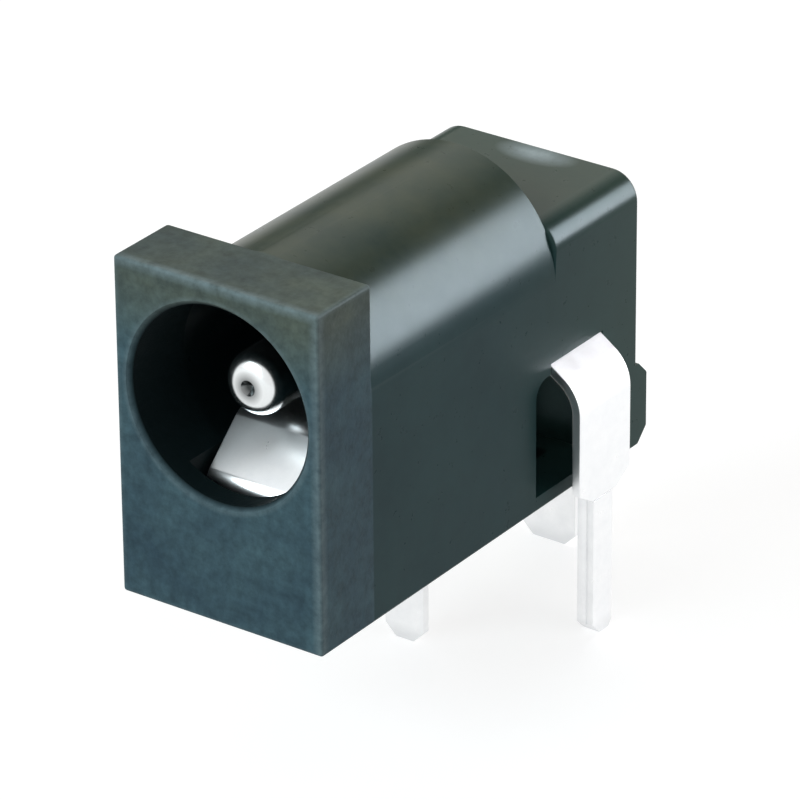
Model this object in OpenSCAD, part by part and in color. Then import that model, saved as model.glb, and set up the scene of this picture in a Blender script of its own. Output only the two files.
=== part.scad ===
// Through-hole dc power jack for a 5.5 mm barrel plug.
// A moulded housing holds a centre pin riveted to its terminal strap, a folded
// sleeve spring under the bore and a folded switch terminal at the right side.
// X points right as seen from the mouth, Y runs from the front face to the back,
// and Z = 0 is the board that the jack is soldered to.

/* [Body] */
// Width of the flange, the barrel and the rear block
body_w = 7.3; // [7.1:0.1:9]
// Length from the front face to the rear wall
body_l = 16.5; // [15.8:0.1:19]
// Height of the front flange above the board
flange_h = 11; // [10.8:0.1:12]
// Thickness of the front flange
flange_t = 2.6; // [2.2:0.1:3.4]
// Distance from the front face to the end of the half-round barrel
barrel_l = 12; // [11.4:0.1:14]
// Height of the rear block
block_h = 9.2; // [8.9:0.1:10.6]
// Radius of the rear block's top corners
block_r = 0.9; // [0.3:0.1:1.8]
// Height of the foot ledge behind the rear wall
foot_h = 2.75; // [1.6:0.05:4]
// Distance that the foot ledge and the rivet boss stand out behind the rear wall
foot_d = 0.6; // [0.4:0.05:1.2]
// Chamfer along the foot ledge's edges
foot_c = 0.45; // [0.1:0.05:0.6]
// Radius of the rivet boss on the rear wall
boss_r = 1.65; // [1.3:0.05:1.75]

/* [Bore] */
// Diameter of the bore
bore_d = 6.3; // [5.9:0.1:6.4]
// Height of the bore's axis above the board
bore_z = 7.1; // [7:0.05:7.4]
// Depth of the bore from the front face
bore_l = 10.6; // [9.6:0.1:10.9]
// Chamfer round the mouth
mouth_c = 0.15; // [0.05:0.05:0.25]

/* [Centre pin] */
// Diameter of the pin
pin_d = 2; // [1.6:0.1:2.5]
// Distance from the front face back to the pin's tip
pin_y = 1.5; // [0.5:0.1:3]
// Radius round the pin's tip
nose_r = 0.55; // [0.2:0.05:0.7]
// Diameter of the centre mark in the pin's tip
mark_d = 0.5; // [0.2:0.05:0.6]
// Diameter of the collar that seats on the end wall of the bore
collar_d = 3; // [2.7:0.1:3.8]
// Thickness of the collar
collar_t = 0.5; // [0.3:0.1:1]
// Diameter of the tenon that is peened over the strap
tenon_d = 1.2; // [0.8:0.1:1.4]
// Diameter of the peened head
head_d = 2; // [1.7:0.1:2.4]
// Height of the peened head
head_h = 0.3; // [0.15:0.05:0.5]

/* [Pin terminal] */
// Thickness of the strap
strap_t = 0.4; // [0.3:0.05:0.6]
// Width of the strap
strap_w = 2.6; // [2.2:0.1:3]
// Radius of the strap's eye round the tenon
eye_r = 1.5; // [1.3:0.05:1.6]
// Width of the strap's tail
strap_tail_w = 2; // [1.2:0.1:2.2]

/* [Tails] */
// Length of all tails below the board plane
tail_l = 4.7; // [2.5:0.1:6]
// Height above the board at which the shoulders of the tails begin
shoulder_h = 0.45; // [0.2:0.05:0.5]
// Chamfer at the tails' tips
tip_c = 0.4; // [0.2:0.05:0.5]

/* [Sleeve spring] */
// Thickness of the spring strip
spring_t = 0.3; // [0.2:0.05:0.35]
// Width of the leaf, the ramp and the riser
leaf_w = 3.2; // [2.4:0.1:3.4]
// Width of the base that seats under the side ledges
base_w = 4.2; // [3.8:0.1:4.6]
// Height of the base's underside above the board
base_z = 1; // [0.9:0.05:1.2]
// Distance from the front face to the riser
riser_y = 1.45; // [1.2:0.05:1.8]
// Slope of the lead-in ramp
ramp_a = 42; // [35:1:50]
// Depth below the bore's wall at which the riser bends into the ramp
ramp_drop = 0.45; // [0.3:0.05:0.6]
// Height of the leaf's crest above the board
crest_z = 5.4; // [5.1:0.05:5.7]
// Inner radius of the crest
crest_r = 0.6; // [0.3:0.05:0.8]
// Distance from the front face to the leaf's free end
leaf_end = 13.1; // [12.7:0.1:13.6]
// Length of the leaf's flat contact end
leaf_flat = 1.2; // [0.8:0.1:1.6]
// Height of the flat contact end's upper face
contact_z = 3.5; // [3.2:0.05:3.6]
// Distance from the front face to the spring's tail
spring_tail_y = 9.2; // [8:0.1:9.8]
// Width of the strip where it turns down into the tail
spring_neck_w = 2.4; // [1.8:0.1:3]
// Width of the spring's tail
spring_tail_w = 1.45; // [1:0.05:1.8]

/* [Switch terminal] */
// Thickness of the switch strip
switch_t = 0.3; // [0.2:0.05:0.35]
// Width of the switch strip
switch_w = 2.75; // [2:0.05:3]
// Distance from the front face to the strip's centre line
switch_y = 13.2; // [12.9:0.1:14]
// Distance that the strip stands out from the side wall
switch_out = 1.05; // [0.8:0.05:1.4]
// Height at which the strip starts to curve into the body
switch_bend_z = 3.15; // [2.8:0.05:3.3]
// Inner radius of that curve
switch_bend_r = 1.1; // [0.7:0.05:1.2]
// Angle of that curve
switch_bend_a = 55; // [50:1:62]
// Distance inside the side wall at which the strip turns down
hook_in = 0.7; // [0.6:0.05:1]
// Slope of the strip from the hook down to the lip
hook_a = 45; // [40:1:55]
// Distance from the centre plane to the lip's edge
lip_x = 0.7; // [0.4:0.05:0.9]
// Width of the doubled tail
switch_tail_w = 1.25; // [0.9:0.05:1.6]
// Depth and half width of the seam along the doubled tail
seam = 0.1; // [0.05:0.01:0.14]

/* [Housing pockets] */
// Distance from the front face to the front wall of the spring pocket
pocket_y = 0.9; // [0.7:0.05:1]
// Distance from the front face to the front edge of the side window
window_y = 11; // [10.2:0.05:11.3]
// Height of the side window's front part
window_h = 4.35; // [3.6:0.05:4.4]
// Radius of the window's front top corner
window_r = 0.6; // [0.2:0.1:0.9]
// Thickness of the floor below the window and the switch strip's room
window_sill = 0.5; // [0.3:0.05:0.8]

/* [Fits] */
// Radial clearance of the pin in the housing and of the tenon in the strap
press_gap = 0.01; // [0.005:0.005:0.02]
// Clearance between a seated strip and the housing
seat_gap = 0.03; // [0.02:0.01:0.05]
// Free space round a strip's moving or loose stretch
free_gap = 0.15; // [0.1:0.01:0.2]
// Inner radius of the small folds
bend_r = 0.4; // [0.25:0.05:0.45]

/* [Hidden] */
$fn = 96;
eps = 0.01;
fold_facet = 7.5;

plastic = [0.14, 0.17, 0.19];
tin = [0.85, 0.86, 0.87];
bright_brass = [0.80, 0.79, 0.75];

side_x = body_w / 2;
barrel_z = flange_h - side_x;
bore_bottom = bore_z - bore_d / 2;
rear_y = body_l + foot_d;

// Sleeve spring in the plane of its side view, as (Y, Z) points of its lower face.
base_front = flange_t + seat_gap;
riser_top = bore_bottom - ramp_drop;
riser_back = riser_y + spring_t;
base_top = base_z + spring_t;
ramp_y = riser_back + bend_r * (1 - sin(ramp_a));
ramp_z = riser_top + bend_r * cos(ramp_a);
crest_rise = crest_z - spring_t - crest_r * (1 - cos(ramp_a)) - ramp_z;
ramp_l = crest_rise / sin(ramp_a);
crest_c = [ramp_y + ramp_l * cos(ramp_a) + crest_r * sin(ramp_a), crest_z - spring_t - crest_r];
// The leaf is the common tangent of the crest's bend and of the bend before its flat end.
end_c = [leaf_end - leaf_flat, contact_z + bend_r];
leaf_span = norm(end_c - crest_c);
leaf_lean = asin((crest_r + spring_t + bend_r) / leaf_span);
leaf_fall = leaf_lean - atan2(end_c[1] - crest_c[1], end_c[0] - crest_c[0]);
leaf_l = leaf_span * cos(leaf_lean);

// Switch strip seen from the mouth, as (X, Z) points of its outer face.
switch_x = side_x + switch_out;
curve_r = switch_bend_r + switch_t;
curve_end = [switch_x - curve_r * (1 - cos(switch_bend_a)),
             switch_bend_z + curve_r * sin(switch_bend_a)];
fold_r = bend_r + switch_t;
hook_x = side_x - hook_in;
rise_l = (curve_end[0] - fold_r * cos(switch_bend_a) - hook_x) / sin(switch_bend_a);
hook_z = curve_end[1] + rise_l * cos(switch_bend_a) - fold_r * sin(switch_bend_a);
lip_top = contact_z + seat_gap + switch_t;
fall_l = (hook_z + (fold_r + bend_r) * cos(hook_a) - bend_r - lip_top) / sin(hook_a);
lip_start = hook_x - (fold_r + bend_r) * sin(hook_a) - fall_l * cos(hook_a);

// Pockets that the strips sit in.
spring_back = spring_tail_y + spring_t + seat_gap;
leaf_pocket_x = leaf_w / 2 + free_gap;
leaf_pocket_back = leaf_end + 2 * free_gap;
leaf_pocket_top = contact_z + spring_t + free_gap;
switch_front = switch_y - switch_w / 2 - seat_gap;
switch_back = switch_y + switch_w / 2 + seat_gap;
switch_pocket_x = lip_x - free_gap;
switch_pocket_top = hook_z + fold_r + free_gap / 2;
slope_gap = free_gap / 2 / sin(switch_bend_a);
slope_top_x = curve_end[0] - (switch_pocket_top - curve_end[1] - slope_gap) * tan(switch_bend_a);
slope_out_x = side_x + switch_out;
slope_out_z = curve_end[1] + (curve_end[0] - slope_out_x) / tan(switch_bend_a) + slope_gap;

// Extrudes a front-view outline from y0 to y1.
module along_y(y0, y1) {
    translate([0, y1, 0]) rotate([90, 0, 0]) linear_extrude(y1 - y0) children();
}

// Extrudes a side-view outline, drawn as (Y, Z), from x0 to x1.
module along_x(x0, x1) {
    translate([x0, 0, 0]) rotate([90, 0, 90]) linear_extrude(x1 - x0) children();
}

// Turns a profile, drawn as (radius, Y), round the bore's axis.
module turned() {
    translate([0, 0, bore_z]) rotate([-90, 0, 0]) rotate_extrude() children();
}

// One box given by two opposite corners.
module block(low, high) {
    translate(low) cube(high - low);
}

// Side view of a strip folded step by step. A frame is [point, heading]; the strip's
// thickness t lies to the left of its heading. Each step is [straight length, inner
// bend radius, bend angle], and a positive angle folds to the left.
function unit(a) = [cos(a), sin(a)];
function side(a) = a < 0 ? -1 : 1;
function ahead(frame, l) = [frame[0] + l * unit(frame[1]), frame[1]];
function fold_radius(r, a, t, face) = a > 0 ? r + t - face : r + face;
function fold_centre(frame, r, a, t) =
    frame[0] + fold_radius(r, a, t, 0) * unit(frame[1] + 90 * side(a));
function next_frame(frame, step, t) =
    let (bend = ahead(frame, step[0]), r = step[1], a = step[2])
    [fold_centre(bend, r, a, t) + fold_radius(r, a, t, 0) * unit(bend[1] + a - 90 * side(a)),
     bend[1] + a];
function end_frame(frame, steps, t, i = 0) =
    i == len(steps) ? frame : end_frame(next_frame(frame, steps[i], t), steps, t, i + 1);
// The points of one face of the strip; face is 0 on the right and t on the left.
function face_points(frame, steps, t, face, i = 0) =
    i == len(steps) ? [] :
    let (bend = ahead(frame, steps[i][0]), r = steps[i][1], a = steps[i][2],
         n = ceil(abs(a) / fold_facet), c = fold_centre(bend, r, a, t))
    concat(
        i == 0 && steps[i][0] > 0 ? [frame[0] + face * unit(frame[1] + 90)] : [],
        a == 0 ? [bend[0] + face * unit(bend[1] + 90)] :
            [for (j = [0 : n])
                c + fold_radius(r, a, t, face) * unit(bend[1] - 90 * side(a) + a * j / n)],
        face_points(next_frame(frame, steps[i], t), steps, t, face, i + 1)
    );
function reversed(list) = [for (i = [len(list) - 1 : -1 : 0]) list[i]];
function strip_outline(frame, steps, t) =
    concat(face_points(frame, steps, t, 0), reversed(face_points(frame, steps, t, t)));

// Front view of a tail: the neck's points from one shoulder up to z1 and down to the
// other, and the tail's points from the board down round the chamfered tip. Both take
// a half width.
function neck_points(neck, z1) = [[neck, shoulder_h], [neck, z1], [-neck, z1], [-neck, shoulder_h]];
function tip_points(half) = [
    [-half, 0], [-half, tip_c - tail_l], [tip_c - half, -tail_l],
    [half - tip_c, -tail_l], [half, tip_c - tail_l], [half, 0]
];

module tail_outline(neck_w, tail_w, z1) {
    polygon(concat(neck_points(neck_w / 2, z1), tip_points(tail_w / 2)));
}

module barrel_outline() {
    translate([-side_x, 0]) square([body_w, barrel_z]);
    translate([0, barrel_z]) circle(d = body_w);
}

module block_outline() {
    translate([-side_x, 0]) square([body_w, block_h - block_r]);
    translate([block_r - side_x, 0]) square([body_w - 2 * block_r, block_h]);
    for (s = [-1, 1]) translate([s * (side_x - block_r), block_h - block_r]) circle(block_r);
}

module foot_outline() {
    polygon([
        [body_l - eps, 0], [rear_y - foot_c, 0], [rear_y, foot_c],
        [rear_y, foot_h - foot_c], [rear_y - foot_c, foot_h], [body_l - eps, foot_h]
    ]);
}

module boss_outline() {
    translate([0, bore_z]) circle(boss_r);
    translate([-boss_r, foot_h - foot_c]) square([2 * boss_r, bore_z - foot_h + foot_c]);
}

// Room for the sleeve spring: stepped, so that the base seats under the side ledges.
module spring_pocket() {
    block([-leaf_pocket_x, pocket_y, base_z - seat_gap], [leaf_pocket_x, bore_l, bore_z]);
    block([-leaf_pocket_x, flange_t, -eps], [leaf_pocket_x, leaf_pocket_back, leaf_pocket_top]);
    block([-base_w / 2 - seat_gap, flange_t, -eps], [base_w / 2 + seat_gap, spring_back, base_top]);
}

// Room for the switch strip inside the side wall, with a top that follows its slope.
module switch_pocket() {
    along_y(switch_front, switch_back) polygon([
        [switch_pocket_x, window_sill], [slope_out_x, window_sill], [slope_out_x, slope_out_z],
        [slope_top_x, switch_pocket_top], [switch_pocket_x, switch_pocket_top]
    ]);
}

// The side window reaches further forward than the strip.
module side_window() {
    upright = window_h - window_sill;
    along_x(leaf_pocket_x, side_x + eps) union() {
        translate([window_y, window_sill]) square([switch_y - window_y, upright - window_r]);
        translate([window_y + window_r, window_sill]) square([switch_y - window_y - window_r, upright]);
        translate([window_y + window_r, window_h - window_r]) circle(window_r);
    }
}

module housing() {
    color(plastic) difference() {
        union() {
            block([-side_x, 0, 0], [side_x, flange_t, flange_h]);
            along_y(flange_t - eps, barrel_l) barrel_outline();
            along_y(barrel_l - eps, body_l) block_outline();
            along_x(-side_x, side_x) foot_outline();
            along_y(body_l - eps, rear_y) boss_outline();
        }
        turned() translate([0, -eps]) square([bore_d / 2, bore_l + eps]);
        turned() polygon([
            [0, -eps], [bore_d / 2 + mouth_c + eps, -eps], [bore_d / 2, mouth_c], [0, mouth_c]
        ]);
        turned() translate([0, bore_l - eps]) square([pin_d / 2 + press_gap, rear_y - bore_l + 2 * eps]);
        spring_pocket();
        switch_pocket();
        side_window();
    }
}

module centre_pin() {
    r = pin_d / 2;
    head_y = rear_y + strap_t;
    dome_r = (head_d * head_d / 4 + head_h * head_h) / (2 * head_h);
    color(bright_brass) turned() difference() {
        union() {
            translate([0, pin_y]) square([r - nose_r, nose_r + eps]);
            translate([r - nose_r, pin_y + nose_r]) intersection() {
                circle(nose_r);
                translate([0, -nose_r]) square([nose_r, nose_r + eps]);
            }
            translate([0, pin_y + nose_r]) square([r, rear_y - pin_y - nose_r]);
            translate([0, bore_l - collar_t]) square([collar_d / 2, collar_t]);
            translate([0, rear_y - eps]) square([tenon_d / 2, strap_t + 2 * eps]);
            intersection() {
                translate([0, head_y + head_h - dome_r]) circle(dome_r);
                translate([0, head_y]) square([head_d / 2, head_h]);
            }
        }
        polygon([[-eps, pin_y - eps], [mark_d / 2, pin_y - eps], [-eps, pin_y + mark_d / 2]]);
    }
}

module pin_terminal() {
    color(tin) along_y(rear_y, rear_y + strap_t) difference() {
        union() {
            translate([0, bore_z]) circle(eye_r);
            tail_outline(strap_w, strap_tail_w, bore_z);
        }
        translate([0, bore_z]) circle(tenon_d / 2 + press_gap);
    }
}

module sleeve_spring() {
    tail_top = base_z - bend_r;
    neck = [[0, bend_r, 90]];
    base = [[spring_tail_y - bend_r - base_front, 0, 0]];
    leaf = [
        [base_front - riser_back - bend_r, bend_r, -90],
        [riser_top - base_top - bend_r, bend_r, ramp_a - 90],
        [ramp_l, crest_r, -ramp_a - leaf_fall],
        [leaf_l, bend_r, leaf_fall],
        [leaf_flat, 0, 0]
    ];
    neck_start = [[spring_tail_y + spring_t, tail_top], 90];
    base_start = end_frame(neck_start, neck, spring_t);
    leaf_start = end_frame(base_start, base, spring_t);
    color(tin) union() {
        along_y(spring_tail_y, spring_tail_y + spring_t)
            tail_outline(spring_neck_w, spring_tail_w, tail_top);
        spring_run(spring_neck_w) polygon(strip_outline(neck_start, neck, spring_t));
        spring_run(base_w) polygon(strip_outline(base_start, base, spring_t));
        spring_run(leaf_w) polygon(strip_outline(leaf_start, leaf, spring_t));
    }
}

// One stretch of the sleeve spring, w wide and centred on the bore's plane.
module spring_run(w) {
    along_x(-w / 2, w / 2) children();
}

// The switch terminal's tail is folded double; its open edge faces the mouth.
module doubled_tail() {
    half = switch_tail_w / 2;
    intersection() {
        translate([switch_x, switch_y, -tail_l]) linear_extrude(tail_l) difference() {
            union() {
                translate([-2 * switch_t, -half]) square([2 * switch_t, switch_tail_w - switch_t]);
                translate([-switch_t, half - switch_t]) circle(switch_t);
            }
            polygon([
                [-switch_t - seam, -half - eps], [-switch_t + seam, -half - eps], [-switch_t, seam - half]
            ]);
        }
        translate([0, switch_y, 0]) along_x(0, switch_x) polygon(tip_points(half));
    }
}

module switch_terminal() {
    tail = switch_tail_w / 2;
    start = [[switch_x, switch_bend_z], 90];
    steps = [
        [0, switch_bend_r, switch_bend_a],
        [rise_l, bend_r, 90 + hook_a - switch_bend_a],
        [fall_l, bend_r, -hook_a],
        [lip_start - lip_x, 0, 0]
    ];
    color(tin) union() {
        translate([0, switch_y, 0]) along_x(switch_x - switch_t, switch_x)
            polygon(concat(neck_points(switch_w / 2, switch_bend_z), [[-tail, 0], [tail, 0]]));
        doubled_tail();
        along_y(switch_y - switch_w / 2, switch_y + switch_w / 2)
            polygon(strip_outline(start, steps, switch_t));
    }
}

housing();
centre_pin();
pin_terminal();
sleeve_spring();
switch_terminal();
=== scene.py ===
import math

import bmesh
import bpy
from mathutils import Matrix, Vector


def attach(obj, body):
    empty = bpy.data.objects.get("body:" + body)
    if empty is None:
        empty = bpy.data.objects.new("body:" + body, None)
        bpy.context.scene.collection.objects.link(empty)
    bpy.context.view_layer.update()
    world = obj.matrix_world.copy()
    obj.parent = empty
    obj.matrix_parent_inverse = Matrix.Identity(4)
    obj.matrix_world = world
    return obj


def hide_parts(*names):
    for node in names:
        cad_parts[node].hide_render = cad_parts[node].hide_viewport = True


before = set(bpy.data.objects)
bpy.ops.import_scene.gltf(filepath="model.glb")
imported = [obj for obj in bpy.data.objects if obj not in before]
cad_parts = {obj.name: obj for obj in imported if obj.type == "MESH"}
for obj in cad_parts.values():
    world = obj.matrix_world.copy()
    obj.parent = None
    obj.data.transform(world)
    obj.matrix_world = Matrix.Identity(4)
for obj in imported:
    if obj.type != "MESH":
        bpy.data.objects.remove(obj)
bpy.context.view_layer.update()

# Pieces are modelled in millimetres and brought to metres when they are finished.
# R is a radius, W a width, T a thickness, L a length, H a height, C a chamfer and A an
# angle in degrees; X, Y and Z are places, measured as in the CAD frame.
MM = 0.001
TINY = 0.001        # slack in a test of place
SLIP = 0.01         # keeps two faces of joined or cut forms from coinciding
LAP = 0.4           # how far joined forms run into each other
PAST = 1.0          # how far a cutting form runs past what it cuts
MERGE = 0.0005      # points closer than this become one
FINE_MERGE = 0.0002
FLAT_A = 0.05       # faces turned by less than this are one flat face
CORNER_A = 28.0
SHEARED_A = 50.0
SMOOTH_A = 32.0
SEGMENT_A = 6.0     # turn of one segment of a fold
LEVEL = 0.9         # a face's normal is beyond this along Z if the face lies level
PARALLEL = 0.99     # an edge's direction is beyond this along the axis that it follows
NORMAL_WEIGHT = 80
FINE_STEPS, EDGE_STEPS, ROUND_STEPS, WINDOW_STEPS, BLOCK_STEPS = 2, 3, 6, 8, 12
ROUND_SIDES = 128
EYE_SIDES = 96
PIN_SIDES = 72
HOLE_SIDES = 64

# Housing
SIDE = 3.65
TOP = 11.0
FLANGE_T = 2.6
BARREL_R = 3.65
BARREL_Z = 7.35
BARREL_END = 12.0
BARREL_END_R = 0.5
BLOCK_H = 9.2
BLOCK_R = 0.9
REAR = 16.5
FOOT_Y = 17.1
FOOT_H = 2.75
FOOT_C = 0.45
BOSS_R = 1.65
BORE_Z = 7.1
BORE_R = 3.15
BORE_END = 10.6
MOUTH_C = 0.15
PIN_HOLE_R = 1.01
EDGE_R = 0.1
SMALL_EDGE_R = EDGE_R / 2
# Centre and half-widths of the oval painted reflection on top of the rear block
REAR_REFLECTION_AT = (0.25, 16.0)
REAR_REFLECTION_X = 1.5
REAR_REFLECTION_Y = 0.75

# Housing pockets
LEAF_POCKET_X = 1.75
LEAF_POCKET_BACK = 13.4
LEAF_POCKET_TOP = 3.95
BASE_POCKET_X = 2.13
BASE_POCKET_BACK = 9.53
POCKET_Y = 0.9
SEAT_Z = 0.97
BASE_TOP = 1.3
WINDOW_Y = 11.0
WINDOW_H = 4.35
WINDOW_R = 0.6
WINDOW_SILL = 0.5
STRIP_FRONT = 11.795
STRIP_BACK = 14.605
STRIP_POCKET_X = 0.55

# Centre pin
PIN_R = 1.0
PIN_Y = 1.5
NOSE_R = 0.55
NOSE_STEPS = 10
MARK_R = 0.25
COLLAR_R = 1.5
COLLAR_Y = 10.1
COLLAR_C = 0.06
TENON_R = 0.6
HEAD_R = 1.0
HEAD_Y = 17.5
HEAD_H = 0.3
HEAD_RIM = 0.04
DOME_END_A = 177

# Strap terminal
STRAP_T = 0.4
EYE_R = 1.5
STRAP_HALF = 1.3
STRAP_TAIL_HALF = 1.0
EYE_HOLE_R = TENON_R + 0.01

# Tails
TAIL_END = -4.7
SHOULDER = 0.45
TIP_C = 0.4
SHEARED_R = 0.035

# Folded strips
STRIP_T = 0.3
FOLD_R = 0.4
FOLD_MID = FOLD_R + STRIP_T / 2

# Sleeve spring
SPRING_TAIL_Y = 9.2
SPRING_TAIL_W = 1.45
SPRING_NECK_W = 2.4
BASE_Z = 1.0
BASE_W = 4.2
BASE_FRONT = FLANGE_T + 0.15
FLARE_L = 0.1
LEAF_W = 3.2
RISER_Y = 1.45
RISER_TOP = 3.5
RAMP_A = 42.0
RAMP_L = 1.7166
CREST_R = 0.6
LEAF_FALL = 13.058
LEAF_L = 8.2604
LEAF_FLAT = 1.2

# Switch terminal
SWITCH_X = 4.7
SWITCH_Y = 13.2
SWITCH_W = 2.75
SWITCH_TAIL_W = 1.25
SWITCH_BEND_Z = 3.15
SWITCH_BEND_R = 1.1
SWITCH_BEND_A = 55.0
RISE_L = 0.9174
HOOK_A = 45.0
FALL_L = 1.1277
LIP_X = 0.7
SEAM_R = 0.1
TAIL_FOLD_R = STRIP_T * 0.97
SLOPE_OUT_X = 4.7
SLOPE_OUT_Z = 3.97
SLOPE_TOP_X = 3.194
SLOPE_TOP_Z = 5.025

# Finishes, and painted light and shade, as linear colours
FLANGE_DARK, FLANGE_LIGHT = (0.030, 0.055, 0.072), (0.056, 0.100, 0.116)
BODY_DARK, BODY_LIGHT = (0.005, 0.029, 0.033), (0.011, 0.041, 0.044)
# Painted light: the lighter, greener colour the body takes towards the rear
REAR_PAINTED_LIGHT = (0.034, 0.066, 0.057)
# Painted reflection: the warm olive tint of the upper faces
TOP_PAINTED_REFLECTION = (0.100, 0.098, 0.052)
# Painted highlight along the flange's edges and round its mouth
EDGE_PAINTED_HIGHLIGHT = (0.17, 0.22, 0.23)
# Painted reflection on top of the rear block
REAR_REFLECTION_PALE = (0.40, 0.48, 0.51)
# Painted shade, near black, inside the bore and the contact pockets
RECESS_PAINTED_SHADE = (0.004, 0.009, 0.010)
TIN_DULL, TIN_BRIGHT = (0.82, 0.83, 0.84), (0.91, 0.915, 0.92)
TIN_TIP = (0.66, 0.67, 0.68)
PIN_DULL, PIN_BRIGHT = (0.76, 0.78, 0.78), (0.86, 0.88, 0.88)
MARK_BLACK = (0.05, 0.055, 0.055)

# Camera, its aim in millimetres and its angles in degrees
AIM = Vector((1.2285, 7.3538, 4.6513))
CAMERA_AZIMUTH = 35.594
CAMERA_ELEVATION = 26.732
CAMERA_ROLL = -0.4815
CAMERA_DISTANCE = 179.626
CAMERA_LENS = 271.8

# Stage, with lamps and cards in metres
FILL = 0.45
FLOOR_GREY = (0.36, 0.36, 0.36)
FLOOR_GLOW = 0.76
CARD_BLACK = (0.01, 0.01, 0.01)
NEAR, FAR = 0.25, 0.4


def only(obj):
    """Makes obj the one selected and active object, in object mode."""
    if bpy.context.mode != "OBJECT":
        bpy.ops.object.mode_set(mode="OBJECT")
    bpy.ops.object.select_all(action="DESELECT")
    obj.select_set(True)
    bpy.context.view_layer.objects.active = obj


def added(name):
    """Names the primitive just added and puts its place in its mesh."""
    obj = bpy.context.object
    obj.name = name
    obj.data.name = name
    bpy.ops.object.transform_apply(location=True, rotation=True, scale=True)
    return obj


def add_box(name, low, high):
    """A box between two opposite corners."""
    low, high = Vector(low), Vector(high)
    bpy.ops.object.select_all(action="DESELECT")
    bpy.ops.mesh.primitive_cube_add(size=1, location=(low + high) / 2)
    bpy.context.object.scale = high - low
    return added(name)


def add_rod(name, radius, start, end, x=0.0, z=BORE_Z, sides=ROUND_SIDES):
    """A round rod along Y."""
    bpy.ops.object.select_all(action="DESELECT")
    bpy.ops.mesh.primitive_cylinder_add(
        vertices=sides, radius=radius, depth=end - start,
        location=(x, (start + end) / 2, z), rotation=(math.pi / 2, 0, 0),
    )
    return added(name)


def edit(obj, kind):
    """Opens obj in edit mode with nothing selected."""
    only(obj)
    bpy.ops.object.mode_set(mode="EDIT")
    bpy.ops.mesh.select_mode(type=kind)
    bpy.ops.mesh.select_all(action="DESELECT")


def middle(item):
    """The middle of a vertex, an edge or a face."""
    if isinstance(item, bmesh.types.BMVert):
        return item.co.copy()
    if isinstance(item, bmesh.types.BMEdge):
        return (item.verts[0].co + item.verts[1].co) / 2
    return item.calc_center_median()


def pick(obj, kind, test):
    """Selects the vertices, edges or faces of obj that pass the test, in edit mode."""
    mesh = bmesh.from_edit_mesh(obj.data)
    for item in {"VERT": mesh.verts, "EDGE": mesh.edges, "FACE": mesh.faces}[kind]:
        item.select_set(bool(test(item)))
    mesh.select_flush_mode()
    bmesh.update_edit_mesh(obj.data)


def close_edit():
    """Back to object mode."""
    bpy.ops.object.mode_set(mode="OBJECT")


def corner(edge, angle=CORNER_A):
    """Whether the two faces at an edge meet at a corner."""
    return len(edge.link_faces) == 2 and edge.calc_face_angle(0) > math.radians(angle)


def outer_corner(edge, angle=CORNER_A):
    """Whether an edge is a corner that points outwards."""
    return corner(edge, angle) and edge.is_convex


def sheared(edge):
    """Whether an edge is one of a strip's sheared edges, and not a segment of a fold."""
    return outer_corner(edge, SHEARED_A)


def runs_along(edge, axis):
    """Whether an edge runs along the axis with that number."""
    run = (edge.verts[1].co - edge.verts[0].co).normalized()
    return abs(run[axis]) > PARALLEL


def round_edges(obj, radius, segments, test=outer_corner):
    """Bevels the edges of obj that pass the test."""
    edit(obj, "EDGE")
    pick(obj, "EDGE", test)
    bpy.ops.mesh.bevel(
        offset_type="OFFSET", offset=radius, segments=segments, affect="EDGES",
        clamp_overlap=True, profile=0.5,
    )
    close_edit()


def combine(obj, tool, operation):
    """Joins tool to obj, or cuts obj with it, and removes tool."""
    only(obj)
    bpy.ops.object.modifier_add(type="BOOLEAN")
    modifier = obj.modifiers[-1]
    modifier.object = tool
    modifier.operation = operation
    modifier.solver = "EXACT"
    bpy.ops.object.modifier_apply(modifier=modifier.name)
    bpy.data.objects.remove(tool, do_unlink=True)


def tidy_mesh(obj):
    """Merges doubles and melts the edges that lie inside flat faces."""
    edit(obj, "VERT")
    bpy.ops.mesh.select_all(action="SELECT")
    bpy.ops.mesh.remove_doubles(threshold=MERGE)
    bpy.ops.mesh.dissolve_limited(angle_limit=math.radians(FLAT_A))
    close_edit()


def close_holes(obj):
    """Fills what a cut has left open."""
    edit(obj, "EDGE")
    bpy.ops.mesh.select_non_manifold(
        extend=False, use_wire=False, use_multi_face=False,
        use_non_contiguous=False, use_verts=False,
    )
    bpy.ops.mesh.fill_holes(sides=0)
    close_edit()


def to_metres(obj):
    """Scales a finished piece from millimetres to metres and smooths its curved faces."""
    only(obj)
    obj.scale = (MM, MM, MM)
    bpy.ops.object.transform_apply(location=True, rotation=True, scale=True)
    bpy.ops.object.shade_smooth_by_angle(angle=math.radians(SMOOTH_A))
    bpy.ops.object.modifier_add(type="WEIGHTED_NORMAL")
    modifier = obj.modifiers[-1]
    modifier.keep_sharp = True
    modifier.weight = NORMAL_WEIGHT
    bpy.ops.object.modifier_apply(modifier=modifier.name)


def seat(obj, node, material):
    """Puts a finished piece in the place of its CAD node."""
    obj.data.materials.clear()
    obj.data.materials.append(material)
    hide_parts(node)
    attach(obj, "root")


# ---------------------------------------------------------------- housing

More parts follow.
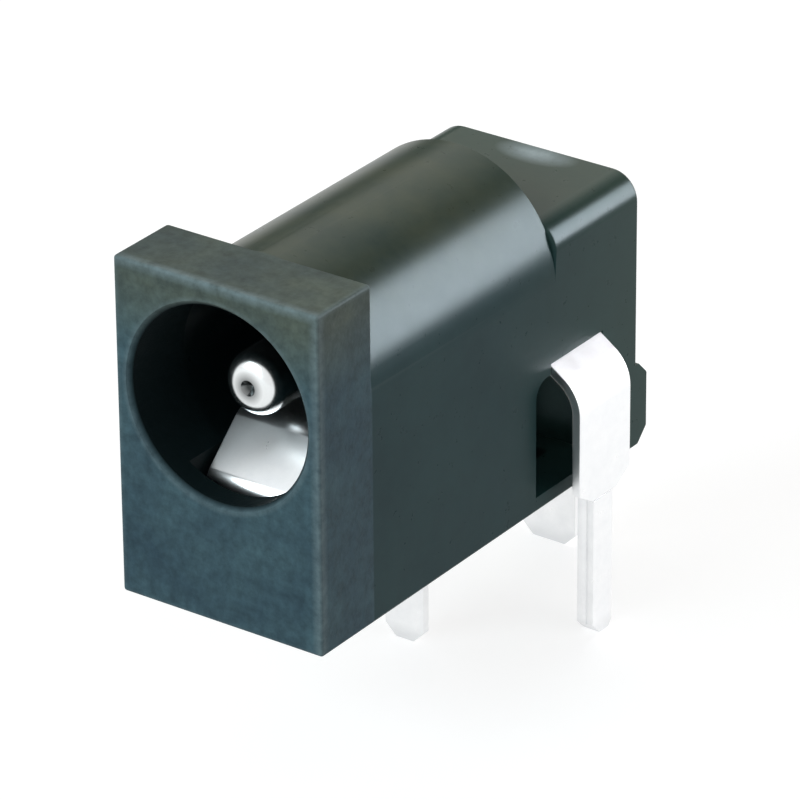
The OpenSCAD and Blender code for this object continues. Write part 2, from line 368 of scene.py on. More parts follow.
def make_outside():
    """The moulded outside: flange, half-round barrel, rear block, foot and rivet boss."""
    shell = add_box("moulded_housing", (-SIDE, 0, 0), (SIDE, FLANGE_T, TOP))
    round_edges(shell, EDGE_R, EDGE_STEPS)

    barrel = add_rod("barrel", BARREL_R, FLANGE_T - LAP, BARREL_END, z=BARREL_Z)
    edit(barrel, "FACE")
    bpy.ops.mesh.select_all(action="SELECT")
    bpy.ops.mesh.bisect(
        plane_co=(0, 0, BARREL_Z), plane_no=(0, 0, 1), clear_inner=True, use_fill=True
    )
    pick(barrel, "FACE", lambda face: face.normal.z < -LEVEL)
    bpy.ops.mesh.extrude_region_move(TRANSFORM_OT_translate={"value": (0, 0, -BARREL_Z)})
    close_edit()
    round_edges(barrel, BARREL_END_R, ROUND_STEPS, lambda edge: (
        corner(edge) and middle(edge).y > BARREL_END - TINY and middle(edge).z > BLOCK_H - LAP / 2
    ))

    block = add_box("block", (-SIDE, BARREL_END - SLIP, 0), (SIDE, REAR, BLOCK_H))
    round_edges(block, BLOCK_R, BLOCK_STEPS, lambda edge: (
        runs_along(edge, 1) and middle(edge).z > TINY
    ))
    round_edges(block, EDGE_R, EDGE_STEPS, lambda edge: (
        corner(edge) and middle(edge).y < BARREL_END and middle(edge).z > BLOCK_H - BLOCK_R
    ))
    combine(barrel, block, "UNION")
    tidy_mesh(barrel)
    round_edges(barrel, EDGE_R, EDGE_STEPS, lambda edge: corner(edge) and (
        middle(edge).y > REAR - TINY or runs_along(edge, 1) and middle(edge).z < TINY
    ))

    foot = add_box("foot", (-SIDE, REAR - LAP, 0), (SIDE, FOOT_Y, FOOT_H))
    round_edges(foot, FOOT_C, 1, lambda edge: runs_along(edge, 0) and middle(edge).y > REAR)
    round_edges(foot, SMALL_EDGE_R, FINE_STEPS, lambda edge: (
        corner(edge) and middle(edge).y > REAR
    ))

    boss = add_rod("boss", BOSS_R, REAR - LAP, FOOT_Y)
    round_edges(boss, SMALL_EDGE_R, FINE_STEPS, lambda edge: middle(edge).y > FOOT_Y - TINY)
    web = add_box(
        "web", (-BOSS_R, REAR - LAP, FOOT_H - FOOT_C), (BOSS_R, FOOT_Y - SLIP, BORE_Z)
    )
    for part in (barrel, foot, boss, web):
        combine(shell, part, "UNION")
    return shell


def add_mouth():
    """The cone that chamfers the bore's mouth. It starts in front of it and ends inside it."""
    bpy.ops.object.select_all(action="DESELECT")
    bpy.ops.mesh.primitive_cone_add(
        vertices=ROUND_SIDES, radius1=BORE_R - MOUTH_C, radius2=BORE_R + 2 * MOUTH_C,
        depth=3 * MOUTH_C, location=(0, MOUTH_C / 2, BORE_Z), rotation=(math.pi / 2, 0, 0),
    )
    return added("mouth")


def add_window():
    """The side window, with its rounded front corner."""
    window = add_box(
        "window", (LEAF_POCKET_X - SLIP, WINDOW_Y, WINDOW_SILL),
        (SIDE + PAST, STRIP_FRONT + PAST, WINDOW_H),
    )
    round_edges(window, WINDOW_R, WINDOW_STEPS, lambda edge: (
        runs_along(edge, 0)
        and middle(edge).y < WINDOW_Y + TINY
        and middle(edge).z > WINDOW_SILL + TINY
    ))
    return window


def add_strip_pocket():
    """The room for the switch strip, with a top that slopes as the strip does."""
    pocket = add_box(
        "strip_pocket", (STRIP_POCKET_X, STRIP_FRONT, WINDOW_SILL),
        (SLOPE_OUT_X, STRIP_BACK, SLOPE_OUT_Z),
    )
    edit(pocket, "FACE")
    pick(pocket, "FACE", lambda face: face.normal.z > LEVEL)
    bpy.ops.mesh.extrude_region_move(
        TRANSFORM_OT_translate={"value": (0, 0, SLOPE_TOP_Z - SLOPE_OUT_Z)}
    )
    bpy.ops.transform.resize(
        value=((SLOPE_TOP_X - STRIP_POCKET_X) / (SLOPE_OUT_X - STRIP_POCKET_X), 1, 1),
        center_override=(STRIP_POCKET_X, STRIP_FRONT, 0),
    )
    close_edit()
    return pocket


def make_housing(material):
    """The moulded housing: the outside, cut by the bore, the pockets and the side window."""
    shell = make_outside()
    for part in (
        add_rod("bore", BORE_R, -PAST, BORE_END),
        add_mouth(),
        add_rod("pin_hole", PIN_HOLE_R, BORE_END - LAP, FOOT_Y + PAST, sides=HOLE_SIDES),
        add_box("riser_room", (-LEAF_POCKET_X, POCKET_Y, SEAT_Z),
                (LEAF_POCKET_X, BORE_END, BORE_Z)),
        add_box("leaf_room", (-LEAF_POCKET_X, FLANGE_T, -PAST),
                (LEAF_POCKET_X, LEAF_POCKET_BACK, LEAF_POCKET_TOP)),
        add_box("base_room", (-BASE_POCKET_X, FLANGE_T, -PAST),
                (BASE_POCKET_X, BASE_POCKET_BACK, BASE_TOP)),
        add_window(),
        add_strip_pocket(),
    ):
        combine(shell, part, "DIFFERENCE")
    tidy_mesh(shell)
    close_holes(shell)
    round_edges(shell, SMALL_EDGE_R, FINE_STEPS, lambda edge: (
        outer_corner(edge)
        and middle(edge).x > SIDE - TINY
        and WINDOW_Y - TINY < middle(edge).y < STRIP_BACK + TINY
        and middle(edge).z > WINDOW_SILL - TINY
    ))
    to_metres(shell)
    seat(shell, "housing", material)


# ---------------------------------------------------------------- turned pin

def grow(y, old_radius, radius):
    """Extrudes the selected end along Y to y and brings it to a new radius."""
    bpy.ops.mesh.extrude_region_move(TRANSFORM_OT_translate={"value": (0, y, 0)})
    if radius != old_radius:
        size = radius / old_radius
        bpy.ops.transform.resize(value=(size, 1, size), center_override=(0, 0, BORE_Z))


def arc_points(centre, radius, start, end, steps):
    """Points (radius, y) along an arc, with angles in degrees from the tip's side."""
    points = []
    for step in range(steps + 1):
        angle = math.radians(start + (end - start) * step / steps)
        points.append(
            (centre[0] + radius * math.sin(angle), centre[1] - radius * math.cos(angle))
        )
    return points


def make_pin(material):
    """The pin, extruded ring by ring from the centre mark in its tip to its peened head."""
    dome_r = (HEAD_R ** 2 + HEAD_H ** 2) / (2 * HEAD_H)
    dome_a = math.degrees(math.asin(HEAD_R / dome_r))
    profile = [(MARK_R * 0.3, PIN_Y + MARK_R * 0.85), (MARK_R, PIN_Y)]
    profile += arc_points((PIN_R - NOSE_R, PIN_Y + NOSE_R), NOSE_R, 0, 90, NOSE_STEPS)
    profile += [
        (PIN_R, COLLAR_Y), (COLLAR_R - COLLAR_C, COLLAR_Y), (COLLAR_R, COLLAR_Y + COLLAR_C),
        (COLLAR_R, BORE_END), (PIN_R, BORE_END), (PIN_R, FOOT_Y), (TENON_R, FOOT_Y),
        (TENON_R, HEAD_Y), (HEAD_R - HEAD_RIM, HEAD_Y),
    ]
    profile += arc_points(
        (0, HEAD_Y + HEAD_H - dome_r), dome_r, 180 - dome_a, DOME_END_A, NOSE_STEPS
    )
    radius, y = MARK_R * 0.1, PIN_Y + MARK_R
    bpy.ops.object.select_all(action="DESELECT")
    bpy.ops.mesh.primitive_circle_add(
        vertices=PIN_SIDES, radius=radius, fill_type="NGON",
        location=(0, y, BORE_Z), rotation=(math.pi / 2, 0, 0),
    )
    pin = added("riveted_pin")
    edit(pin, "FACE")
    bpy.ops.mesh.select_all(action="SELECT")
    for new_radius, new_y in profile:
        grow(new_y - y, radius, new_radius)
        radius, y = new_radius, new_y
    bpy.ops.mesh.select_all(action="SELECT")
    bpy.ops.mesh.remove_doubles(threshold=FINE_MERGE)
    bpy.ops.mesh.normals_make_consistent(inside=False)
    close_edit()
    to_metres(pin)
    seat(pin, "centre_pin", material)


# ---------------------------------------------------------------- strap terminal

def stretch(move, size):
    """Extrudes the selected end by move and scales it along X about the centre plane."""
    bpy.ops.mesh.extrude_region_move(TRANSFORM_OT_translate={"value": move})
    if size != 1:
        bpy.ops.transform.resize(value=(size, 1, 1), center_override=(0, 0, 0))


def make_strap(material):
    """The strap behind the rear wall: a round eye, a plain blade, shoulders and a tail."""
    strap = add_box("strap_terminal", (-STRAP_HALF, FOOT_Y, SHOULDER),
                    (STRAP_HALF, FOOT_Y + STRAP_T, BORE_Z))
    edit(strap, "FACE")
    pick(strap, "FACE", lambda face: face.normal.z < -LEVEL)
    stretch((0, 0, -SHOULDER), STRAP_TAIL_HALF / STRAP_HALF)
    stretch((0, 0, TAIL_END + TIP_C), 1)
    stretch((0, 0, -TIP_C), (STRAP_TAIL_HALF - TIP_C) / STRAP_TAIL_HALF)
    close_edit()
    combine(strap, add_rod("eye", EYE_R, FOOT_Y, FOOT_Y + STRAP_T, sides=EYE_SIDES), "UNION")
    combine(
        strap, add_rod("eye_hole", EYE_HOLE_R, FOOT_Y - PAST, FOOT_Y + PAST, sides=HOLE_SIDES),
        "DIFFERENCE",
    )
    tidy_mesh(strap)
    round_edges(strap, SHEARED_R, FINE_STEPS, lambda edge: corner(edge, SHEARED_A))
    to_metres(strap)
    seat(strap, "pin_terminal", material)


# ---------------------------------------------------------------- folded strips

class Strip:
    """A flat strip that is folded step by step from its lower end upwards.

    It is drawn at the middle of its thickness, in the YZ plane if it is wide along X,
    or in the XZ plane if it is wide along Y. Its open end stays selected from step to step.
    """

    def __init__(self, name, wide_x, point, centre, rows):
        """rows are (height, width) pairs from the lower end up, at centre across."""
        self.wide_x = wide_x
        self.centre = centre
        (self.low, width), (height, self.width) = rows[0], rows[1]
        self.point = Vector((point, height))
        self.heading = 90.0
        turn = (math.pi / 2, 0, 0) if wide_x else (0, math.pi / 2, 0)
        bpy.ops.object.select_all(action="DESELECT")
        bpy.ops.mesh.primitive_plane_add(
            size=1, location=self.place(point, (height + self.low) / 2), rotation=turn
        )
        plane = bpy.context.object
        length = height - self.low
        plane.scale = (width, length, 1) if wide_x else (length, width, 1)
        self.obj = added(name)
        edit(self.obj, "EDGE")
        pick(self.obj, "EDGE", lambda edge: middle(edge).z > height - TINY)
        self.widen(self.width / width)
        for height, width in rows[2:]:
            self.run(height - self.point.y, width)

    def place(self, along_strip, height):
        """The point in space for one in the strip's plane."""
        if self.wide_x:
            return Vector((self.centre, along_strip, height))
        return Vector((along_strip, self.centre, height))

    def widen(self, size):
        """Scales the open end across the strip."""
        if abs(size - 1) > TINY:
            value = (size, 1, 1) if self.wide_x else (1, size, 1)
            bpy.ops.transform.resize(value=value, center_override=self.place(0, 0))

    def run(self, length, width=None):
        """A straight stretch, which may end wider or narrower."""
        angle = math.radians(self.heading)
        step = Vector((math.cos(angle), math.sin(angle))) * length
        self.point += step
        move = (0, step.x, step.y) if self.wide_x else (step.x, 0, step.y)
        bpy.ops.mesh.extrude_region_move(TRANSFORM_OT_translate={"value": move})
        if width:
            self.widen(width / self.width)
            self.width = width

    def bend(self, radius, angle):
        """A bend, to the left if the angle is above zero. The radius is the middle one."""
        side = math.radians(self.heading + (90 if angle > 0 else -90))
        centre = self.point + Vector((math.cos(side), math.sin(side))) * radius
        bpy.ops.mesh.spin(
            steps=max(4, round(abs(angle) / SEGMENT_A)), angle=math.radians(-angle),
            center=self.place(centre.x, centre.y),
            axis=(1, 0, 0) if self.wide_x else (0, -1, 0),
        )
        arm = self.point - centre
        turn = math.radians(angle)
        self.point = centre + Vector((
            arm.x * math.cos(turn) - arm.y * math.sin(turn),
            arm.x * math.sin(turn) + arm.y * math.cos(turn),
        ))
        self.heading += angle

    def thicken(self):
        """Gives the strip its thickness, half on each side of the drawn middle."""
        bpy.ops.mesh.select_all(action="SELECT")
        bpy.ops.mesh.remove_doubles(threshold=MERGE)
        bpy.ops.mesh.normals_make_consistent(inside=False)
        close_edit()
        only(self.obj)
        bpy.ops.object.modifier_add(type="SOLIDIFY")
        modifier = self.obj.modifiers[-1]
        modifier.thickness = STRIP_T
        modifier.offset = 0
        modifier.use_even_offset = True
        bpy.ops.object.modifier_apply(modifier=modifier.name)
        return self.obj


def make_spring(material):
    """The sleeve spring: tail, base, riser, ramp, crest and the long leaf."""
    spring = Strip("folded_spring", True, SPRING_TAIL_Y + STRIP_T / 2, 0.0, [
        (TAIL_END, SPRING_TAIL_W - 2 * TIP_C), (TAIL_END + TIP_C, SPRING_TAIL_W),
        (0, SPRING_TAIL_W), (SHOULDER, SPRING_NECK_W), (BASE_Z - FOLD_R, SPRING_NECK_W),
    ])
    spring.bend(FOLD_MID, 90)
    spring.run(FLARE_L, BASE_W)
    spring.run(spring.point.x - BASE_FRONT)
    spring.run(FLARE_L, LEAF_W)
    spring.run(spring.point.x - RISER_Y - STRIP_T / 2 - FOLD_MID)
    spring.bend(FOLD_MID, -90)
    spring.run(RISER_TOP - spring.point.y)
    spring.bend(FOLD_MID, RAMP_A - 90)
    spring.run(RAMP_L)
    spring.bend(CREST_R + STRIP_T / 2, -RAMP_A - LEAF_FALL)
    spring.run(LEAF_L)
    spring.bend(FOLD_MID, LEAF_FALL)
    spring.run(LEAF_FLAT)
    obj = spring.thicken()
    round_edges(obj, SHEARED_R, FINE_STEPS, sheared)
    to_metres(obj)
    seat(obj, "sleeve_spring", material)


def add_doubled_tail():
    """The switch terminal's tail: two layers with a round fold behind and a seam in front."""
    half = SWITCH_TAIL_W / 2
    tail = add_box(
        "doubled_tail", (SWITCH_X - 2 * STRIP_T, SWITCH_Y - half, TAIL_END),
        (SWITCH_X, SWITCH_Y + half, 0),
    )
    round_edges(tail, TIP_C, 1, lambda edge: (
        runs_along(edge, 0) and middle(edge).z < TAIL_END + TINY
    ))
    round_edges(tail, TAIL_FOLD_R, ROUND_STEPS, lambda edge: (
        runs_along(edge, 2) and middle(edge).y > SWITCH_Y + half - TINY
    ))
    bpy.ops.object.select_all(action="DESELECT")
    bpy.ops.mesh.primitive_cylinder_add(
        vertices=4, radius=SEAM_R, depth=-2 * TAIL_END,
        location=(SWITCH_X - STRIP_T, SWITCH_Y - half, TAIL_END),
    )
    combine(tail, added("seam"), "DIFFERENCE")
    round_edges(tail, SHEARED_R, FINE_STEPS, lambda edge: (
        outer_corner(edge) and runs_along(edge, 2)
    ))
    return tail


def make_switch(material):
    """The switch terminal: doubled tail, blade, curve into the body, hook and lip."""
    blade = Strip("folded_switch", False, SWITCH_X - STRIP_T / 2, SWITCH_Y, [
        (0, SWITCH_TAIL_W), (SHOULDER, SWITCH_W), (SWITCH_BEND_Z, SWITCH_W),
    ])
    blade.bend(SWITCH_BEND_R + STRIP_T / 2, SWITCH_BEND_A)
    blade.run(RISE_L)
    blade.bend(FOLD_MID, 90 + HOOK_A - SWITCH_BEND_A)
    blade.run(FALL_L)
    blade.bend(FOLD_MID, -HOOK_A)
    blade.run(blade.point.x - LIP_X)
    obj = blade.thicken()
    round_edges(obj, SHEARED_R, FINE_STEPS, sheared)
    combine(obj, add_doubled_tail(), "UNION")
    tidy_mesh(obj)
    to_metres(obj)
    seat(obj, "switch_terminal", material)


# ---------------------------------------------------------------- materials

def new_node(tree, kind, **values):
    """A node with its sockets set by name and its settings by lower-case name."""
    made = tree.nodes.new(kind)
    for key, value in values.items():
        if key[0].islower():
            setattr(made, key, value)
        else:
            made.inputs[key.replace("_", " ")].default_value = value
    return made


def math_node(tree, operation, first, second=0.0, third=0.0):
    """A maths node on sockets or plain numbers; gives its output."""
    made = tree.nodes.new("ShaderNodeMath")
    made.operation = operation
    for socket, value in zip(made.inputs, (first, second, third)):
        if isinstance(value, bpy.types.NodeSocket):
            tree.links.new(value, socket)
        else:
            socket.default_value = value
    return made.outputs[0]


def product(tree, first, *others):
    """Multiplies sockets or plain numbers; gives the output."""
    for other in others:
        first = math_node(tree, "MULTIPLY", first, other)
    return first


def mix_colour(tree, factor, first, second):
    """Blends two colours, given as sockets or tuples; gives the blended colour."""
    made = tree.nodes.new("ShaderNodeMix")
    made.data_type = "RGBA"
    sockets = (made.inputs[0], made.inputs[6], made.inputs[7])
    for socket, value in zip(sockets, (factor, first, second)):
        if isinstance(value, bpy.types.NodeSocket):
            tree.links.new(value, socket)
        elif isinstance(value, tuple):
            socket.default_value = (*value, 1)
        else:
            socket.default_value = value
    return made.outputs[2]


def new_group(name, inputs, outputs):
    """A shader node group with float or vector inputs and outputs."""
    tree = bpy.data.node_groups.new(name, "ShaderNodeTree")
    for label, kind, value in inputs:
        socket = tree.interface.new_socket(label, in_out="INPUT", socket_type=kind)
        if value is not None:
            socket.default_value = value
    for label in outputs:
        tree.interface.new_socket(label, in_out="OUTPUT", socket_type="NodeSocketFloat")
    return tree, tree.nodes.new("NodeGroupInput"), tree.nodes.new("NodeGroupOutput")


def make_grain_group():
    """Surface grain: a height for bumps, fine and coarse, and a mottle for tone."""
    tree, given, result = new_group("surface grain", [
        ("Vector", "NodeSocketVector", None),
        ("Grain", "NodeSocketFloat", 9000.0),
        ("Mottle", "NodeSocketFloat", 400.0),
    ], ["Height", "Tone"])
    fine = new_node(tree, "ShaderNodeTexNoise", Detail=3.0, Roughness=0.6)
    tree.links.new(given.outputs["Vector"], fine.inputs["Vector"])
    tree.links.new(given.outputs["Grain"], fine.inputs["Scale"])
    coarse = new_node(tree, "ShaderNodeTexNoise", Detail=1.0, Roughness=0.5)
    tree.links.new(given.outputs["Vector"], coarse.inputs["Vector"])
    tree.links.new(product(tree, given.outputs["Grain"], 0.35), coarse.inputs["Scale"])
    height = math_node(tree, "MULTIPLY_ADD", coarse.outputs["Fac"], 1.5, fine.outputs["Fac"])
    cloud = new_node(tree, "ShaderNodeTexNoise", Detail=5.0, Roughness=0.65)
    tree.links.new(given.outputs["Vector"], cloud.inputs["Vector"])
    tree.links.new(given.outputs["Mottle"], cloud.inputs["Scale"])
    tree.links.new(height, result.inputs["Height"])
    tree.links.new(cloud.outputs["Fac"], result.inputs["Tone"])
    return tree


def make_line_group():
    """A line along the edge where two distances both run out: 1 on it, 0 at its width."""
    tree, given, result = new_group("edge line", [
        ("First", "NodeSocketFloat", 0.0),
        ("Second", "NodeSocketFloat", 0.0),
        ("Width", "NodeSocketFloat", 0.0002),
        ("Strength", "NodeSocketFloat", 1.0),
    ], ["Line"])
    away = math_node(tree, "MAXIMUM", given.outputs["First"], given.outputs["Second"])
    near = math_node(tree, "SUBTRACT", 1, math_node(tree, "DIVIDE", away, given.outputs["Width"]))
    near = product(tree, math_node(tree, "MAXIMUM", near, 0), 1.3)
    near = math_node(tree, "MINIMUM", near, 1)
    tree.links.new(product(tree, near, given.outputs["Strength"]), result.inputs["Line"])
    return tree


def place_group(tree, group, **values):
    """A node that holds the group, with its inputs set by name."""
    made = tree.nodes.new("ShaderNodeGroup")
    made.node_tree = group
    for key, value in values.items():
        made.inputs[key].default_value = value
    return made


def start_material(name, **values):
    """A material with its shader, the Object coordinates and the same split into X, Y and Z."""
    material = bpy.data.materials.new(name)
    material.use_nodes = True
    tree = material.node_tree
    shader = tree.nodes["Principled BSDF"]
    for key, value in values.items():
        shader.inputs[key.replace("_", " ")].default_value = value
    spot = tree.nodes.new("ShaderNodeTexCoord").outputs["Object"]
    split = tree.nodes.new("ShaderNodeSeparateXYZ")
    tree.links.new(spot, split.inputs["Vector"])
    return material, tree, shader, spot, split.outputs


def add_bump(tree, shader, height, distance, strength):
    """Feeds a height to the shader's normal; the strength is a socket or a plain number."""
    bump = new_node(tree, "ShaderNodeBump", Distance=distance)
    if isinstance(strength, bpy.types.NodeSocket):
        tree.links.new(strength, bump.inputs["Strength"])
    else:
        bump.inputs["Strength"].default_value = strength
    tree.links.new(height, bump.inputs["Height"])
    tree.links.new(bump.outputs["Normal"], shader.inputs["Normal"])


def axis_distance(tree, place):
    """Distance of a surface point from the bore's axis."""
    aside = product(tree, place["X"], place["X"])
    rise = math_node(tree, "SUBTRACT", place["Z"], BORE_Z * MM)
    return math_node(tree, "SQRT", math_node(tree, "MULTIPLY_ADD", rise, rise, aside))


def ramp(tree, value, start, end):
    """0 before start and 1 after end, in between in step with value."""
    made = new_node(tree, "ShaderNodeMapRange", From_Min=start, From_Max=end)
    tree.links.new(value, made.inputs["Value"])
    return made.outputs["Result"]


def edge_lines(tree, line_group, edges):
    """The strongest of several edge lines, each given by two distances, a width and a strength."""
    strongest = 0.0
    for first, second, width, strength in edges:
        line = place_group(tree, line_group, Width=width * MM, Strength=strength)
        tree.links.new(first, line.inputs["First"])
        tree.links.new(second, line.inputs["Second"])
        strongest = math_node(tree, "MAXIMUM", line.outputs["Line"], strongest)
    return strongest


def flange_painted_highlights(tree, line_group, place, from_axis):
    """Painted highlights: pale lines along the flange's moulded edges and round its mouth."""
    front = place["Y"]
    right = math_node(tree, "SUBTRACT", SIDE * MM, place["X"])
    left = math_node(tree, "ADD", place["X"], SIDE * MM)
    above = math_node(tree, "SUBTRACT", TOP * MM, place["Z"])
    rim = math_node(tree, "SUBTRACT", from_axis, (BORE_R + MOUTH_C) * MM)
    rim = math_node(tree, "ABSOLUTE", rim)
    return edge_lines(tree, line_group, (
        (front, above, 0.34, 0.85), (front, right, 0.36, 0.7), (front, left, 0.2, 0.3),
        (front, rim, 0.16, 0.3), (right, above, 0.2, 0.5), (front, place["Z"], 0.16, 0.25),
    ))


def painted_rear_reflection(tree, spot, place, speck):
    """The mask of an oval painted reflection on top of the rear block, near its rear edge."""
    oval = new_node(tree, "ShaderNodeVectorMath", operation="MULTIPLY_ADD")
    tree.links.new(spot, oval.inputs[0])
    oval.inputs[1].default_value = (1 / (REAR_REFLECTION_X * MM), 1 / (REAR_REFLECTION_Y * MM), 0)
    oval.inputs[2].default_value = (-REAR_REFLECTION_AT[0] / REAR_REFLECTION_X, -REAR_REFLECTION_AT[1] / REAR_REFLECTION_Y, 0)
    away = new_node(tree, "ShaderNodeVectorMath", operation="LENGTH")
    tree.links.new(oval.outputs["Vector"], away.inputs[0])
    return product(
        tree,
        math_node(tree, "SUBTRACT", 1, ramp(tree, away.outputs["Value"], 0.1, 1.0)),
        ramp(tree, place["Z"], (BLOCK_H - 0.1) * MM, BLOCK_H * MM),
        math_node(tree, "MULTIPLY_ADD", speck, 0.3, 0.6),
    )


def painted_recess_shade(tree, place, from_axis):
    """The mask of painted shade on the walls inside the bore and the contact pockets."""
    front = place["Y"]
    mouth_r = BORE_R + MOUTH_C
    bore = product(
        tree,
        math_node(tree, "SUBTRACT", 1, ramp(tree, from_axis, mouth_r * MM, (mouth_r + 0.05) * MM)),
        ramp(tree, front, 0.02 * MM, 0.15 * MM),
        ramp(tree, front, (BORE_END + 0.2) * MM, BORE_END * MM),
    )
    aside = math_node(tree, "ABSOLUTE", place["X"])
    pocket = ramp(tree, aside, (BASE_POCKET_X + 0.1) * MM, BASE_POCKET_X * MM)
    for value, start, end in (
        (place["Z"], 0.2, 0.5), (place["Z"], BORE_Z, BORE_Z - 0.2),
        (front, 0.3, POCKET_Y), (front, LEAF_POCKET_BACK + 0.5, LEAF_POCKET_BACK + 0.3),
    ):
        pocket = product(tree, pocket, ramp(tree, value, start * MM, end * MM))
    return math_node(tree, "MAXIMUM", bore, pocket)


def make_plastic(grain_group, line_group):
    """Dark slate moulded plastic: grained on the flange, smoother and glossier behind it."""
    material, tree, shader, spot, place = start_material(
        "slate moulded plastic", Specular_IOR_Level=0.12, Specular_Tint=(0.66, 0.91, 1.0, 1)
    )
    grain = place_group(tree, grain_group, Grain=9000.0, Mottle=2600.0)
    cast = place_group(tree, grain_group, Grain=2000.0, Mottle=230.0)
    for group in (grain, cast):
        tree.links.new(spot, group.inputs["Vector"])
    from_axis = axis_distance(tree, place)
    body = ramp(tree, place["Y"], (FLANGE_T - 0.05) * MM, (FLANGE_T + 0.02) * MM)
    rear = ramp(tree, place["Y"], 9.0 * MM, (REAR + 1.0) * MM)
    high = ramp(tree, place["Z"], 8.2 * MM, 10.4 * MM)
    speck = ramp(tree, grain.outputs["Tone"], 0.3, 0.7)
    drift = ramp(tree, cast.outputs["Tone"], 0.36, 0.64)

    flange_colour = mix_colour(tree, drift, FLANGE_DARK, FLANGE_LIGHT)
    body_colour = mix_colour(tree, drift, BODY_DARK, BODY_LIGHT)
    # Painted light: the body turns lighter and greener towards the rear
    body_colour = mix_colour(tree, rear, body_colour, REAR_PAINTED_LIGHT)
    colour = mix_colour(tree, body, flange_colour, body_colour)
    # Painted reflection: the upper faces take a warm olive tint in patches, as a reflection of
    # light from above
    top_reflection = product(tree, high, math_node(tree, "MULTIPLY_ADD", drift, 0.3, 0.3))
    colour = mix_colour(tree, top_reflection, colour, TOP_PAINTED_REFLECTION)

    # The specks are deep on the flange and faint behind it.
    depth = math_node(tree, "MULTIPLY_ADD", body, -0.5, 0.6)
    uneven = math_node(tree, "SUBTRACT", speck, 0.5)
    uneven = math_node(tree, "MULTIPLY_ADD", uneven, depth, 1)
    shade = new_node(tree, "ShaderNodeMix", data_type="RGBA", blend_type="MULTIPLY")
    shade.inputs[0].default_value = 1
    tree.links.new(colour, shade.inputs[6])
    tree.links.new(uneven, shade.inputs[7])

    # Painted highlights along the flange's edges and round its mouth, broken up by the grain
    line = product(
        tree,
        flange_painted_highlights(tree, line_group, place, from_axis),
        math_node(tree, "SUBTRACT", 1, body),
        math_node(tree, "MULTIPLY_ADD", speck, 0.7, 0.35),
    )
    colour = mix_colour(tree, line, shade.outputs[2], EDGE_PAINTED_HIGHLIGHT)
    # Painted reflection: a pale oval on top of the rear block near its rear edge
    colour = mix_colour(tree, painted_rear_reflection(tree, spot, place, speck), colour, REAR_REFLECTION_PALE)
    # Painted shade: the walls inside the bore and the contact pockets turn near black
    colour = mix_colour(tree, painted_recess_shade(tree, place, from_axis), colour, RECESS_PAINTED_SHADE)
    tree.links.new(colour, shader.inputs["Base Color"])

    rough = math_node(tree, "MULTIPLY_ADD", body, -0.26, 0.5)
    rough = math_node(tree, "MULTIPLY_ADD", grain.outputs["Tone"], 0.1, rough)
    tree.links.new(rough, shader.inputs["Roughness"])
    strength = math_node(tree, "MULTIPLY_ADD", body, -0.76, 0.8)
    add_bump(tree, shader, grain.outputs["Height"], 0.00001, strength)
    return material


def make_tin(grain_group, line_group):
    """Tin-plated strip: pale, with a faint satin mottle, and darker along the tail tips."""
    material, tree, shader, spot, place = start_material("tin plate", Metallic=1.0)
    grain = place_group(tree, grain_group, Grain=5000.0, Mottle=1300.0)
    tree.links.new(spot, grain.inputs["Vector"])
    tone = ramp(tree, grain.outputs["Tone"], 0.3, 0.7)
    colour = mix_colour(tree, tone, TIN_DULL, TIN_BRIGHT)
    tip = math_node(tree, "SUBTRACT", place["Z"], TAIL_END * MM)
    line = edge_lines(tree, line_group, ((tip, tip, TIP_C * 1.4, 0.6),))
    colour = mix_colour(tree, line, colour, TIN_TIP)
    tree.links.new(colour, shader.inputs["Base Color"])
    rough = math_node(tree, "MULTIPLY_ADD", tone, -0.05, 0.32)
    tree.links.new(rough, shader.inputs["Roughness"])
    add_bump(tree, shader, grain.outputs["Height"], 0.000002, 0.06)
    return material


def make_nickel(grain_group, line_group):
    """Bright plated pin with faint turning lines round it, a dark centre mark and painted shade at
    the step of its collar.
    """
    material, tree, shader, spot, place = start_material("bright plated pin", Metallic=1.0)
    turned = new_node(tree, "ShaderNodeMapping", Scale=(0.05, 1.0, 0.05))
    tree.links.new(spot, turned.inputs["Vector"])
    grain = place_group(tree, grain_group, Grain=9000.0, Mottle=1500.0)
    tree.links.new(turned.outputs["Vector"], grain.inputs["Vector"])
    tone = ramp(tree, grain.outputs["Tone"], 0.3, 0.7)
    colour = mix_colour(tree, tone, PIN_DULL, PIN_BRIGHT)
    from_axis = axis_distance(tree, place)
    from_tip = math_node(tree, "SUBTRACT", place["Y"], (PIN_Y + 0.5) * MM)
    collar = math_node(tree, "SUBTRACT", COLLAR_Y * MM, place["Y"])
    collar = math_node(tree, "ABSOLUTE", collar)
    # The dark centre mark, and painted shade along the step at the collar, deep in the bore
    line = edge_lines(tree, line_group, (
        (from_axis, from_tip, MARK_R * 2.2, 1.0), (collar, collar, 0.2, 0.4),
    ))
    colour = mix_colour(tree, line, colour, MARK_BLACK)
    tree.links.new(colour, shader.inputs["Base Color"])
    rough = math_node(tree, "MULTIPLY_ADD", tone, 0.08, 0.18)
    tree.links.new(rough, shader.inputs["Roughness"])
    add_bump(tree, shader, grain.outputs["Height"], 0.000001, 0.15)
    return material


# ---------------------------------------------------------------- stage, light, camera

def make_matt(name, grey):
    """A plain matt finish without gloss."""
    material = bpy.data.materials.new(name)
    material.use_nodes = True
    shader = material.node_tree.nodes["Principled BSDF"]
    shader.inputs["Base Color"].default_value = (*grey, 1)
    shader.inputs["Roughness"].default_value = 1
    shader.inputs["Specular IOR Level"].default_value = 0
    return material, material.node_tree, shader


def ray_mask(tree, *kinds):
    """1 for rays of any of these kinds."""
    path = tree.nodes.new("ShaderNodeLightPath")
    mask = path.outputs[kinds[0]]
    for kind in kinds[1:]:
        mask = math_node(tree, "MAXIMUM", mask, path.outputs[kind])
    return mask


